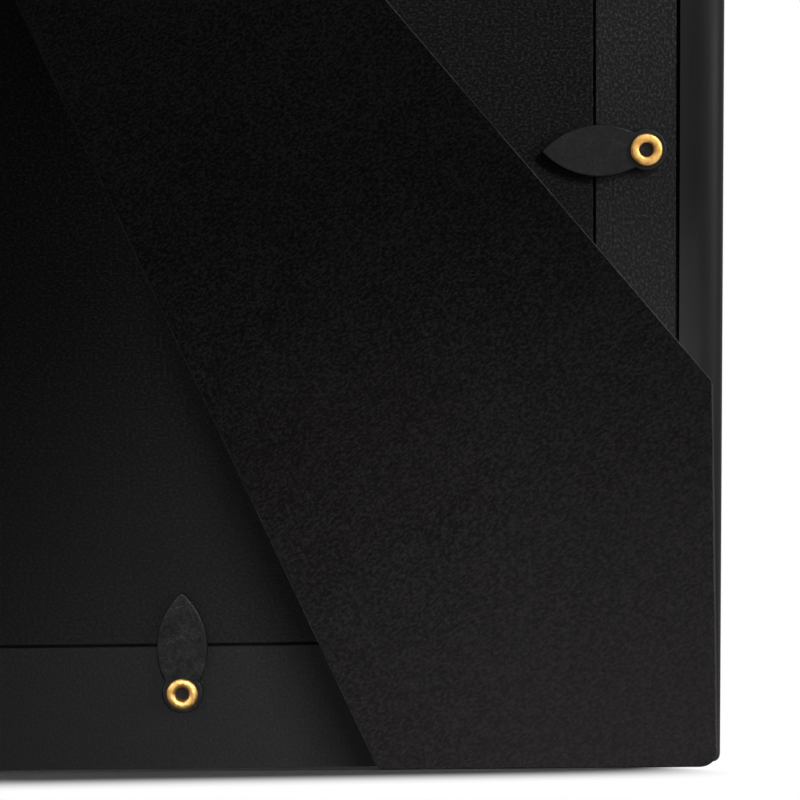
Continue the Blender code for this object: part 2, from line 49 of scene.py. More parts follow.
# Metal rails, with a tilt in degrees
RAIL_WALL = 0.0012
RAIL_STRIP = 0.0071
RAIL_FACE = 0.0235
RAIL_BACK_RADIUS = 0.0024
RAIL_FRONT_RADIUS = 0.0015
RAIL_CHAMFER = 0.0009
RAIL_CROWN = 0.0045
RAIL_END_RADIUS = 0.0011
RAIL_SHADED_SIDE_TILT = 26.0
RAIL_EDGE = 0.00016
RAIL_HIGHLIGHT_WIDTH = 0.0018
RAIL_HIGHLIGHT_DEPTHS = (-0.0016, -0.0006)
FACE_BACK = -0.011
FACE_FRONT = FACE_BACK - RAIL_WALL
MITRE_GAP = 0.00006
MITRE_SHIFT = MITRE_GAP / math.sqrt(2)

# Turn buttons and their eyelets, with tilts in degrees
LEAF_THICKNESS = 0.0012
LEAF_HALF_WIDTH = 0.00395
LEAF_WIDEST_AT = 0.0071
LEAF_ARC = 0.0121
LEAF_TIP_RADIUS = 0.00045
LEAF_HEAD_RADIUS = 0.0032
LEAF_EDGE = 0.00036
LEAF_FACE_TILT = 5.0
LEAF_RIM_TILT = 32.0
EYELET_FLANGE_RADIUS = 0.00245
EYELET_FLANGE_HEIGHT = 0.0006
EYELET_TUBE_RADIUS = 0.0015
EYELET_BORE_RADIUS = 0.00105
EYELET_DEPTH = 0.004
EYELET_SEAT_INSET = 0.0001
EYELET_LIP_RAG = 0.00014
EYELET_LIP_POINTS = 6.0
LEAF_BACK = GAP + LEAF_THICKNESS
EYELET_SEAT = LEAF_BACK + GAP
BUTTON_TILT = math.radians(0.6)
BUTTONS = {
    "left": (-0.0715, 0.0961, math.pi / 2 + BUTTON_TILT),
    "right": (0.0715, 0.0961, -math.pi / 2),
    "bottom": (0.0008, 0.0124, -BUTTON_TILT),
    "top": (-0.0008, 0.2046, math.pi),
}

# Strut
STRUT_ACROSS = 0.018
STRUT_AXIS_HEIGHT = 0.15
STRUT_ANGLE = math.radians(32.9)
STRUT_OPENING = math.radians(24.0)
STRUT_BOARD = 0.0024
STRUT_HALF_WIDTH = 0.01784
STRUT_TAPER = math.radians(5.21)
STRUT_TOP = 0.0024
STRUT_SIDE_INSET = 0.00484
STRUT_TOP_RADIUS = 0.006
STRUT_FOOT_RADIUS = 0.001
STRUT_CORNER_RADIUS = 0.0021
STRUT_SIDE_RADIUS = 0.0008
STRUT_EDGE = 0.00024
STRUT_WEAR_AND_HIGHLIGHT_REACH = 0.00015
STRUT_WEAR_AND_HIGHLIGHT_RAG = 0.0003
AXIS_OUT = 0.0018

# The crease across the door's paper
CREASE_HEIGHT = 0.0393
CREASE_WIDTH = 0.00016

# Places of the leaning frame, the hinge and the open strut
LEAN_ANGLE = math.radians(-15.2)
LEAN_PLACE = (0.0, -0.0327616, -0.0000143)
LEANING = Matrix.Translation(LEAN_PLACE) @ Matrix.Rotation(LEAN_ANGLE, 4, "X")
HINGE = LEANING @ Matrix.Translation((STRUT_ACROSS, AXIS_OUT, STRUT_AXIS_HEIGHT))
HINGE = HINGE @ Matrix.Rotation(STRUT_ANGLE, 4, "Y")
SWING = HINGE @ Matrix.Rotation(STRUT_OPENING, 4, "X")

# The floor's fade to white away from the object, and the light of the white world
FLOOR_HALF = 3.0
FADE_ASIDE = 0.0675
FADE_ASIDE_POWER = 14.0
FADE_AWAY = 0.112
FADE_TILT = 0.26
FADE_RANGE = (0.798, 1.508)
FADE_AHEAD = (0.060, 0.115)
WORLD_LIGHT = 0.09

# The camera, with its lens in millimetres, its place and its own axes
CAMERA_LENS = 90.0
CAMERA_SENSOR = 36.0
CAMERA_CLIP = 0.005
CAMERA_PLACE = (-0.03086, 0.28776, 0.00213)
CAMERA_RIGHT = (-0.99991, 0.00701, -0.01112)
CAMERA_UP = (-0.00974, 0.17358, 0.98477)
CAMERA_BACK = (0.00883, 0.98479, -0.1735)

# Directions in an object's own axes, and plain white
ASIDE = (1.0, 0.0, 0.0)
BACK = (0.0, 1.0, 0.0)
AHEAD = (0.0, -1.0, 0.0)
UP = (0.0, 0.0, 1.0)
WHITE = (1.0, 1.0, 1.0, 1.0)


# Node helpers
class Shade:
    """One material's node tree, with short ways to add to it."""

    def __init__(self, name, placing):
        self.material = bpy.data.materials.new(name)
        self.material.use_nodes = True
        self.tree = self.material.node_tree
        self.shader = self.tree.nodes["Principled BSDF"]
        coords = self.tree.nodes.new("ShaderNodeTexCoord")
        place = self.tree.nodes.new("ShaderNodeMapping")
        place.vector_type = "TEXTURE"
        place.inputs["Location"].default_value = placing.to_translation()
        place.inputs["Rotation"].default_value = placing.to_euler()
        self.link(coords.outputs["Object"], place.inputs["Vector"])
        self.here = place.outputs["Vector"]

    def link(self, source, target):
        self.tree.links.new(source, target)

    def set(self, **values):
        for name, value in values.items():
            self.shader.inputs[name.replace("_", " ")].default_value = value

    def stretched(self, scale):
        node = self.tree.nodes.new("ShaderNodeMapping")
        node.inputs["Scale"].default_value = scale
        self.link(self.here, node.inputs["Vector"])
        return node.outputs["Vector"]

    def noise(self, scale, detail, rough, where=None):
        node = self.tree.nodes.new("ShaderNodeTexNoise")
        node.inputs["Scale"].default_value = scale
        node.inputs["Detail"].default_value = detail
        node.inputs["Roughness"].default_value = rough
        self.link(where or self.here, node.inputs["Vector"])
        return node.outputs["Fac"]

    def spread(self, value, low, high, to_low=0.0, to_high=1.0, smooth=False):
        node = self.tree.nodes.new("ShaderNodeMapRange")
        if smooth:
            node.interpolation_type = "SMOOTHSTEP"
        for name, number in (("From Min", low), ("From Max", high),
                             ("To Min", to_low), ("To Max", to_high)):
            node.inputs[name].default_value = number
        self.link(value, node.inputs["Value"])
        return node.outputs["Result"]

    def combine(self, first, second, operation):
        """A Math node on two values, each a number or a socket."""
        node = self.tree.nodes.new("ShaderNodeMath")
        node.operation = operation
        for socket, value in ((node.inputs[0], first), (node.inputs[1], second)):
            if isinstance(value, (int, float)):
                socket.default_value = value
            else:
                self.link(value, socket)
        return node.outputs["Value"]

    def sum(self, first, second):
        return self.combine(first, second, "ADD")

    def times(self, first, second):
        return self.combine(first, second, "MULTIPLY")

    def weigh(self, first, share, second, other_share):
        """The sum of two values, each times its share."""
        return self.sum(self.times(first, share), self.times(second, other_share))

    def blend(self, factor, first, second):
        node = self.tree.nodes.new("ShaderNodeMix")
        node.data_type = "RGBA"
        self.link(factor, node.inputs["Factor"])
        for socket, value in ((node.inputs["A"], first), (node.inputs["B"], second)):
            if isinstance(value, tuple):
                socket.default_value = value + (1.0,)
            else:
                self.link(value, socket)
        return node.outputs["Result"]

    def across(self, direction, offset):
        """How far a point lies beyond a plane, in local metres, and less than 0 before it."""
        node = self.tree.nodes.new("ShaderNodeVectorMath")
        node.operation = "DOT_PRODUCT"
        self.link(self.here, node.inputs[0])
        node.inputs[1].default_value = direction
        return self.combine(node.outputs["Value"], offset, "SUBTRACT")

    def apart(self, direction, offset):
        """The same distance, counted alike on both sides of the plane."""
        return self.combine(self.across(direction, offset), 0.0, "ABSOLUTE")

    def bump(self, heights, distance):
        node = self.tree.nodes.new("ShaderNodeBump")
        node.inputs["Strength"].default_value = 1.0
        node.inputs["Distance"].default_value = distance
        self.link(heights, node.inputs["Height"])
        self.link(node.outputs["Normal"], self.shader.inputs["Normal"])

    def colour(self, value):
        self.link(value, self.shader.inputs["Base Color"])

    def roughness(self, value):
        self.link(value, self.shader.inputs["Roughness"])


def paper(name, placing, tone, grain, speck, cover, height, grain_strengths, painted_light):
    """Black embossed paper over board, whose tone varies round one colour. Specks show on the
    grain's tips, from the first level of cover, and are full at the second. Between the two given
    heights the grain's strength goes from its first given value to its second. The strength scales
    the grain's bump and also its colour contrast and pale specks, so the colour is painted lighter
    and more grainy towards the second height, as painted light.
    """
    shade = Shade(name, placing)
    tooth = shade.noise(1.0, 2.0, 0.6, shade.stretched(grain))
    fine = shade.noise(5200.0, 2.0, 0.6)
    cloudy = shade.noise(260.0, 3.0, 0.6)
    patches = shade.noise(46.0, 4.0, 0.6)
    # Painted light: the grain's strength grows with height, and with it the colour contrast and
    # the pale specks, so the paper is painted lighter higher up.
    strength = shade.spread(shade.across(UP, 0.0), *painted_light, *grain_strengths)
    mix = shade.sum(shade.spread(tooth, 0.36, 0.64, -0.39, 0.39),
                    shade.spread(cloudy, 0.35, 0.65, -0.06, 0.06))
    mix = shade.sum(mix, shade.spread(patches, 0.35, 0.65, -0.05, 0.05))
    mix = shade.sum(shade.times(mix, strength), 0.5)
    dark = tuple(level * 0.35 for level in tone)
    light = tuple(level * 1.65 for level in tone)
    body = shade.blend(mix, dark, light)
    # The pale specks grow with the square of the strength, part of the painted light higher up.
    raised = shade.times(shade.spread(tooth, *cover), shade.spread(fine, 0.42, 0.58))
    raised = shade.times(raised, shade.combine(strength, 2.0, "POWER"))
    shade.body = shade.blend(raised, body, speck)
    shade.colour(shade.body)
    shade.roughness(shade.spread(cloudy, 0.2, 0.8, 0.62, 0.76))
    shade.bump(shade.times(shade.weigh(tooth, 0.7, fine, 0.4), strength), height)
    return shade


def ring_paper():
    shade = paper("ring_paper", LEANING, tone=(0.0064, 0.0060, 0.0065),
                  grain=(2500.0, 2500.0, 1900.0), speck=(0.054, 0.052, 0.055),
                  cover=(0.487, 0.667), height=0.00013, grain_strengths=(0.34, 1.05), painted_light=(0.01, 0.11))
    shade.set(Specular_IOR_Level=0.13)
    return shade


def door_paper():
    """The door's paper, with a faint crease across it above the lower button."""
    shade = paper("door_paper", LEANING, tone=(0.0108, 0.0101, 0.0109),
                  grain=(2000.0, 2500.0, 2700.0), speck=(0.044, 0.041, 0.044),
                  cover=(0.52, 0.66), height=0.00010, grain_strengths=(0.42, 0.90), painted_light=(0.035, 0.105))
    line = shade.spread(shade.apart(UP, CREASE_HEIGHT), 0.0, CREASE_WIDTH, 0.10, 0.0)
    shade.colour(shade.blend(line, shade.body, (0.03, 0.029, 0.03)))
    shade.set(Specular_IOR_Level=0.022)
    return shade


def strut_paper():
    """The strut's paper, with a pale broken line along its long edges and a fainter one along its
    side edge, partly worn board and partly a painted highlight.
    """
    shade = paper("strut_paper", SWING, tone=(0.0066, 0.0060, 0.0064),
                  grain=(1900.0, 2600.0, 3000.0), speck=(0.0135, 0.0128, 0.0135),
                  cover=(0.52, 0.66), height=0.00008, grain_strengths=(0.42, 1.2), painted_light=(-0.165, -0.085))
    ragged = shade.noise(1900.0, 3.0, 0.7)
    strong = shade.spread(shade.noise(170.0, 3.0, 0.6), 0.3, 0.7)
    cosine, sine = math.cos(STRUT_TAPER), math.sin(STRUT_TAPER)
    half = STRUT_HALF_WIDTH * cosine
    side = WIDTH / 2 - STRUT_SIDE_INSET + STRUT_ACROSS
    down, up = math.cos(STRUT_ANGLE), math.sin(STRUT_ANGLE)
    edges = (
        ((-cosine, 0.0, sine), half, 0.00016, 1.0),
        ((-down, 0.0, -up), side, 0.00011, 0.4),
        ((cosine, 0.0, sine), half, 0.00012, 1.0),
    )
    # Pale edge lines: partly worn board and partly a painted highlight where the edges catch the
    # light.
    wear = None
    for direction, offset, width, level in edges:
        inside = shade.across(direction, offset)
        reach = shade.sum(inside, shade.times(ragged, STRUT_WEAR_AND_HIGHLIGHT_RAG))
        line = shade.spread(reach, STRUT_WEAR_AND_HIGHLIGHT_REACH - width, STRUT_WEAR_AND_HIGHLIGHT_REACH - width * 0.5,
                            0.0, level)
        wear = line if wear is None else shade.combine(wear, line, "MAXIMUM")
    wear = shade.times(wear, shade.spread(strong, 0.0, 1.0, 0.35, 1.0))
    shade.colour(shade.blend(wear, shade.body, (0.055, 0.054, 0.053)))
    shade.set(Specular_IOR_Level=0.012)
    return shade


def rail_paint(name, gloss):
    """Satin black coat, with a paler band painted along the inner edge of the back strips as a
    painted highlight.
    """
    shade = Shade(name, LEANING)
    clouds = shade.noise(90.0, 3.0, 0.55)
    fine = shade.noise(3800.0, 2.0, 0.5)
    drawn = shade.noise(1.0, 2.0, 0.5, shade.stretched((2600.0, 2600.0, 60.0)))
    mix = shade.weigh(clouds, 0.5, drawn, 0.5)
    body = shade.blend(shade.spread(mix, 0.35, 0.65),
                       (0.0018, 0.0016, 0.0018), (0.0040, 0.0038, 0.0040))
    # Painted highlight: a paler band along the inner edge of each back strip, near its back face.
    inward = shade.combine(shade.apart(ASIDE, 0.0), WIDTH / 2 - RAIL_STRIP, "SUBTRACT")
    painted_light = shade.times(shade.spread(inward, 0.0, RAIL_HIGHLIGHT_WIDTH, 1.0, 0.0),
                         shade.spread(shade.across(BACK, 0.0), *RAIL_HIGHLIGHT_DEPTHS))
    shade.colour(shade.blend(painted_light, body, (0.0075, 0.0072, 0.0075)))
    shade.roughness(shade.spread(clouds, 0.3, 0.7, 0.41, 0.49))
    shade.bump(shade.sum(fine, shade.times(drawn, 0.5)), 0.000015)
    shade.set(Specular_IOR_Level=gloss)
    return shade


def button_paint():
    """Satin black metal with a faint grain and small pale scuffs."""
    shade = Shade("button_paint", LEANING)
    fine = shade.noise(3000.0, 2.0, 0.6)
    clouds = shade.noise(420.0, 3.0, 0.6)
    mix = shade.weigh(fine, 0.6, clouds, 0.4)
    body = shade.blend(shade.spread(mix, 0.40, 0.60),
                       (0.0060, 0.0057, 0.0060), (0.0146, 0.0140, 0.0146))
    scuffs = shade.times(shade.spread(fine, 0.56, 0.70), shade.spread(clouds, 0.50, 0.64))
    shade.colour(shade.blend(scuffs, body, (0.030, 0.029, 0.030)))
    shade.roughness(shade.spread(clouds, 0.3, 0.7, 0.30, 0.38))
    shade.bump(shade.sum(fine, shade.times(clouds, 0.5)), 0.00004)
    shade.set(Specular_IOR_Level=0.13)
    return shade


def painted_light_metal(name, low, high, gloss):
    """A plain copy of the coat, used for painted light: lighter for a painted highlight along a
    leaf's rim, and darker and duller for painted shade on its outer edge.
    """
    shade = Shade(name, LEANING)
    fine = shade.noise(2400.0, 3.0, 0.6)
    shade.colour(shade.blend(shade.spread(fine, 0.35, 0.65), low, high))
    shade.roughness(shade.spread(fine, 0.3, 0.7, 0.34, 0.46))
    shade.bump(fine, 0.00003)
    shade.set(Specular_IOR_Level=gloss)
    return shade


def brass():
    shade = Shade("rolled_brass", LEANING)
    rough = shade.noise(2600.0, 4.0, 0.65)
    stains = shade.noise(900.0, 3.0, 0.6)
    tone = shade.blend(shade.spread(stains, 0.35, 0.65), (0.52, 0.275, 0.07), (0.78, 0.475, 0.16))
    shade.colour(shade.blend(shade.spread(rough, 0.62, 0.78), tone, (0.26, 0.12, 0.03)))
    shade.roughness(shade.spread(rough, 0.3, 0.7, 0.38, 0.50))
    shade.bump(rough, 0.00004)
    shade.set(Metallic=1.0)
    return shade


def steel():
    shade = Shade("bare_steel", LEANING)
    drawn = shade.noise(1.0, 3.0, 0.6, shade.stretched((5000.0, 600.0, 600.0)))
    shade.colour(shade.blend(drawn, (0.36, 0.36, 0.37), (0.56, 0.56, 0.57)))
    shade.roughness(shade.spread(drawn, 0.3, 0.7, 0.26, 0.42))
    shade.bump(drawn, 0.00001)
    shade.set(Metallic=1.0)
    return shade


def clear_glass():
    shade = Shade("clear_glass", LEANING)
    smears = shade.noise(60.0, 3.0, 0.6)
    shade.roughness(shade.spread(smears, 0.55, 0.8, 0.01, 0.05))
    shade.set(Base_Color=(0.97, 0.99, 0.98, 1.0), Transmission_Weight=1.0, IOR=1.5)
    return shade


def white_paper():
    shade = Shade("white_paper", LEANING)
    fibres = shade.noise(1400.0, 4.0, 0.6)
    clouds = shade.noise(70.0, 3.0, 0.5)
    mix = shade.weigh(fibres, 0.5, clouds, 0.5)
    shade.colour(shade.blend(shade.spread(mix, 0.3, 0.7), (0.74, 0.73, 0.70), (0.83, 0.82, 0.79)))
    shade.bump(fibres, 0.00004)
    shade.set(Roughness=0.75)
    return shade


def grey_card():
    shade = Shade("grey_card", LEANING)
    fibres = shade.noise(1.0, 4.0, 0.65, shade.stretched((900.0, 900.0, 2600.0)))
    shade.colour(shade.blend(shade.spread(fibres, 0.3, 0.7),
                             (0.25, 0.22, 0.18), (0.40, 0.36, 0.30)))
    shade.bump(fibres, 0.0001)
    shade.set(Roughness=0.92)
    return shade


def raw_edge(placing):
    """The cut edge of the board, where the black has worn off the pale core in places."""
    shade = Shade("strut_raw_edge", placing)
    wear = shade.noise(420.0, 4.0, 0.7)
    fine = shade.noise(2600.0, 3.0, 0.6)
    bare = shade.spread(wear, 0.50, 0.72)
    core = shade.blend(fine, (0.026, 0.025, 0.024), (0.062, 0.060, 0.058))
    shade.colour(shade.blend(bare, (0.008, 0.0078, 0.008), core))
    shade.bump(fine, 0.00012)
    shade.set(Roughness=0.85, Specular_IOR_Level=0.02)
    return shade


# Object and mesh helpers
def new_object(name, data):
    item = bpy.data.objects.new(name, data)
    bpy.context.scene.collection.objects.link(item)
    return item


def add(name, mesh, body, placing, *nodes):
    """A piece, moved to its place at rest, that rides on a body and stands for some nodes."""
    mesh.transform(placing)
    item = new_object(name, mesh)
    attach(item, body)
    if nodes:
        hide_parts(*nodes)
    return item


def dress(item, *shades):
    item.data.materials.clear()
    for shade in shades:
        item.data.materials.append(shade.material)
    return item


def bake_modifiers(item):
    """Applies the modifiers, so that the piece is a plain mesh."""
    bpy.context.view_layer.update()
    graph = bpy.context.evaluated_depsgraph_get()
    mesh = bpy.data.meshes.new_from_object(item.evaluated_get(graph))
    item.modifiers.clear()
    item.data = mesh
    return item


def smooth(item, angle=35.0):
    """Shades smooth across the edges that are flatter than an angle."""
    item.data.shade_smooth()
    item.data.set_sharp_from_angle(angle=math.radians(angle))
    return item


def even(item):
    """Keeps the flat faces flat beside their rounded edges."""
    weighted = item.modifiers.new("even", "WEIGHTED_NORMAL")
    weighted.keep_sharp = True
    return bake_modifiers(item)


def soften(item, width, segments, angle=50.0, material=-1):
    """Rounds the edges that are sharper than an angle."""
    bevel = item.modifiers.new("edges", "BEVEL")
    bevel.width = width
    bevel.segments = segments
    bevel.limit_method = "ANGLE"
    bevel.angle_limit = math.radians(angle)
    bevel.material = material


def loft(name, *sections):
    """A closed body through outlines with the same number of points."""
    mesh = bpy.data.meshes.new(name)
    work = bmesh.new()
    rings = []
    for section in sections:
        rings.append([work.verts.new(point) for point in section])
    work.faces.new(rings[0])
    work.faces.new(rings[-1])
    for near, far in zip(rings, rings[1:]):
        for index in range(len(near)):
            after = (index + 1) % len(near)
            work.faces.new((near[index], near[after], far[after], far[index]))
    bmesh.ops.recalc_face_normals(work, faces=work.faces)
    work.to_mesh(mesh)
    work.free()
    return mesh


def plate(name, outline, front, back):
    """A flat body between two depths, with its outline in x and z."""
    first = [Vector((x, front, z)) for x, z in outline]
    last = [Vector((x, back, z)) for x, z in outline]
    return loft(name, first, last)


def arc(centre_x, centre_y, radius, start, end, steps, wide=None):
    """Points of an arc, or of part of an ellipse where a half width is given."""
    points = []
    for step in range(steps + 1):
        angle = start + (end - start) * step / steps
        across = (wide or radius) * math.cos(angle)
        points.append((centre_x + across, centre_y + radius * math.sin(angle)))
    return points


# Metal rails, with finer rounding than the solids
def face_points():
    """The section of a rail's face, from its inner edge to its rounded outer one."""
    points = [(RAIL_FACE, FACE_BACK), (RAIL_FACE, FACE_FRONT + RAIL_CHAMFER)]
    points.append((RAIL_FACE - RAIL_CHAMFER, FACE_FRONT))
    low = FACE_FRONT + RAIL_FRONT_RADIUS
    return points + arc(RAIL_FRONT_RADIUS, low, RAIL_FRONT_RADIUS, 1.5 * math.pi, math.pi, 12)


def side_rail(word, side):
    """A side rail, crowned towards its strip and rounded at the ends behind the cover."""
    inner = RAIL_BACK_RADIUS - RAIL_WALL
    section = face_points() + [(0.0, -COVER_DEPTH)]
    section += arc(RAIL_CROWN, -RAIL_BACK_RADIUS, RAIL_BACK_RADIUS, math.pi, math.pi / 2, 22,
                   wide=RAIL_CROWN)
    section += [(RAIL_STRIP, 0.0), (RAIL_STRIP, -RAIL_WALL)]
    section += arc(RAIL_BACK_RADIUS, -RAIL_BACK_RADIUS, inner, math.pi / 2, math.pi, 8)
    section.append((RAIL_WALL, FACE_BACK))
    steps = 6
    stations = []
    for step in range(steps + 1):
        turn = math.pi / 2 * step / steps
        along = RAIL_END_RADIUS * (1 - math.cos(turn))
        stations.append((along, RAIL_END_RADIUS * (1 - math.sin(turn))))
    stations += [(HEIGHT - z, inset) for z, inset in reversed(stations)]
    outlines = []
    for z, inset in stations:
        outline = []
        for inward, depth in section:
            place = max(inward, inset) if depth > -COVER_DEPTH else inward
            outline.append(Vector((side * (WIDTH / 2 - place), depth, z)))
        outlines.append(outline)
    mesh = loft("rail_skin_" + word, *outlines)
    rail = add("rail_skin_" + word, mesh, "frame", LEANING, "rail_" + word)
    cutters = []
    for end in (-1, 1):
        reach = RAIL_FACE + OVERRUN
        corners = [(-OVERRUN, -OVERRUN), (reach, -OVERRUN), (reach, reach + MITRE_SHIFT)]
        corners.append((-OVERRUN, MITRE_SHIFT - OVERRUN))
        outline = []
        for inward, along in corners:
            outline.append((side * (WIDTH / 2 - inward), along if end < 0 else HEIGHT - along))
        wedge = plate("wedge", outline, FACE_FRONT - OVERRUN, -COVER_DEPTH)
        wedge.transform(LEANING)
        cutter = new_object("wedge", wedge)
        cutters.append(cutter)
        boolean = rail.modifiers.new("mitre", "BOOLEAN")
        boolean.operation = "DIFFERENCE"
        boolean.object = cutter
    soften(rail, RAIL_EDGE, segments=2)
    bake_modifiers(rail)
    for cutter in cutters:
        bpy.data.objects.remove(cutter)
    # The outer side faces take the duller copy of the paint, which stands for painted shade on the
    # rail's outer edge.
    outward = Vector((side, 0.0, 0.0))
    for face in rail.data.polygons:
        tilt = math.degrees(face.normal.angle(outward))
        face.material_index = 1 if tilt < RAIL_SHADED_SIDE_TILT else 0
    return smooth(rail)


def end_rail(word, end):
    """The top or bottom rail, which ends behind the cover and fits between the mitres."""
    top = -(COVER_DEPTH + GAP)
    section = face_points() + [(0.0, top), (RAIL_WALL, top), (RAIL_WALL, FACE_BACK)]
    first = []
    last = []
    for inward, depth in section:
        z = inward if end < 0 else HEIGHT - inward
        reach = WIDTH / 2 - inward - MITRE_SHIFT
        first.append(Vector((-reach, depth, z)))
        last.append(Vector((reach, depth, z)))
    mesh = loft("rail_skin_" + word, first, last)
    rail = add("rail_skin_" + word, mesh, "frame", LEANING, "rail_" + word)
    soften(rail, RAIL_EDGE, segments=2)
    return smooth(bake_modifiers(rail))


# Turn buttons and eyelets
def leaf_outline():
    """A pointed leaf, whose two long arcs run from the tip into the round head."""
    side = LEAF_ARC - LEAF_HALF_WIDTH
    tip = LEAF_WIDEST_AT + math.sqrt((LEAF_ARC - LEAF_TIP_RADIUS) ** 2 - side ** 2)
    tip_angle = math.atan2(tip - LEAF_WIDEST_AT, side)
    span = math.hypot(side, LEAF_WIDEST_AT)
    along = (LEAF_ARC ** 2 - LEAF_HEAD_RADIUS ** 2 + span ** 2) / (2 * span)
    opened = math.acos(along / LEAF_ARC)
    neck_angle = math.atan2(-LEAF_WIDEST_AT, side) + opened
    neck_x = -side + LEAF_ARC * math.cos(neck_angle)
    neck_z = LEAF_WIDEST_AT + LEAF_ARC * math.sin(neck_angle)
    head_angle = math.atan2(neck_z, neck_x)
    steps = 26
    points = arc(-side, LEAF_WIDEST_AT, LEAF_ARC, neck_angle, tip_angle, steps)
    points += arc(0.0, tip, LEAF_TIP_RADIUS, tip_angle, math.pi - tip_angle, 8)[1:-1]
    points += [(-x, z) for x, z in reversed(points[:steps + 1])]
    turn = arc(0.0, 0.0, LEAF_HEAD_RADIUS, math.pi - head_angle, 2 * math.pi + head_angle, 48)
    return points + turn[1:-1]


def pivot(place):
    """Where a button is pivoted on the back. A button's place is its x, z and turn."""
    return LEANING @ Matrix.Translation((place[0], 0.0, place[1]))


def turn_button(word, place):
    """A leaf with a painted highlight on its rim and painted shade on its outer edge, each in its
    own material.
    """
    mesh = plate("leaf_" + word, leaf_outline(), GAP, LEAF_BACK)
    placing = pivot(place) @ Matrix.Rotation(place[2], 4, "Y")
    item = add("leaf_" + word, mesh, "button_" + word, placing, "turn_button_" + word)
    soften(item, LEAF_EDGE, segments=6, angle=40.0)
    even(smooth(bake_modifiers(item), angle=60.0))
    outward = (LEANING.to_3x3() @ Vector(BACK)).normalized()
    # Gently tilted bevel faces get a painted highlight, and steeper ones and the wall a painted
    # shade.
    for face in item.data.polygons:
        tilt = math.degrees(face.normal.angle(outward))
        if tilt < LEAF_FACE_TILT or tilt > 180.0 - LEAF_FACE_TILT:
            face.material_index = 0
        else:
            face.material_index = 1 if tilt < LEAF_RIM_TILT else 2
    return item


def eyelet(word, place, seed):
    """A rolled brass flange with an uneven inner lip, on a tube that runs into the board."""
    middle = (EYELET_FLANGE_RADIUS + EYELET_BORE_RADIUS) / 2
    half = (EYELET_FLANGE_RADIUS - EYELET_BORE_RADIUS) / 2
    edge = EYELET_FLANGE_HEIGHT * 0.3
    profile = [(EYELET_BORE_RADIUS, -EYELET_DEPTH), (EYELET_TUBE_RADIUS, -EYELET_DEPTH)]
    profile.append((EYELET_TUBE_RADIUS, EYELET_SEAT))
    profile.append((EYELET_FLANGE_RADIUS - EYELET_SEAT_INSET, EYELET_SEAT))
    rounds = 18
    for step in range(rounds + 1):
        angle = math.pi * step / rounds
        rise = edge + (EYELET_FLANGE_HEIGHT - edge) * math.sin(angle) ** 0.8
        profile.append((middle + half * math.cos(angle), EYELET_SEAT + rise))
    inner = len(profile) - 1
    profile += [(EYELET_BORE_RADIUS, EYELET_SEAT), (EYELET_BORE_RADIUS, 0.0)]
    mesh = bpy.data.meshes.new("flange_" + word)
    work = bmesh.new()
    steps = 96
    rings = []
    for step in range(steps):
        angle = 2 * math.pi * step / steps
        spot = Vector((math.cos(angle), math.sin(angle), seed))
        rag = noise.noise(spot * 2.2) * 0.4 + noise.noise(spot * 9.7) * 0.6
        ring = []
        for index, (radius, height) in enumerate(profile):
            nearness = max(0.0, 1.0 - abs(index - inner) / EYELET_LIP_POINTS)
            wide = radius + rag * EYELET_LIP_RAG * nearness
            high = height - abs(rag) * EYELET_LIP_RAG * nearness
            ring.append(work.verts.new((wide * math.cos(angle), high, wide * math.sin(angle))))
        rings.append(ring)
    for step in range(steps):
        ring = rings[step]
        following = rings[(step + 1) % steps]
        for index in range(len(profile)):
            after = (index + 1) % len(profile)
            work.faces.new((ring[index], ring[after], following[after], following[index]))
    bmesh.ops.recalc_face_normals(work, faces=work.faces)
    work.to_mesh(mesh)
    work.free()
    return smooth(add("flange_" + word, mesh, "frame", pivot(place), "eyelet_" + word), angle=50.0)


def refined(node, body):
    """A node's own shape with its facets smoothed."""
    name = node + "_skin"
    mesh = frame["nodes"][node].data.copy()
    mesh.name = name
    work = bmesh.new()
    work.from_mesh(mesh)
    bmesh.ops.remove_doubles(work, verts=work.verts, dist=0.000001)
    bmesh.ops.dissolve_limit(work, angle_limit=0.01, verts=work.verts, edges=work.edges)
    work.to_mesh(mesh)
    work.free()
    return smooth(add(name, mesh, body, Matrix.Identity(4), node))


# Strut board, with finer corners and edges than the solid
def rounded(corners, steps=10):
    """An outline whose corners are arcs. Each corner is x, z and its radius."""
    outline = []
    for index, (x, z, radius) in enumerate(corners):
        corner = Vector((x, z))
        back = (Vector(corners[index - 1][:2]) - corner).normalized()
        ahead = (Vector(corners[(index + 1) % len(corners)][:2]) - corner).normalized()
        half = back.angle(ahead) / 2
        centre = corner + (back + ahead).normalized() * (radius / math.sin(half))
        start = corner + back * (radius / math.tan(half)) - centre
        turn = 1 if back.x * ahead.y - back.y * ahead.x < 0 else -1
        for step in range(steps + 1):
            spin = Matrix.Rotation(turn * (math.pi - 2 * half) * step / steps, 2)
            outline.append(tuple(centre + spin @ start))
    return outline


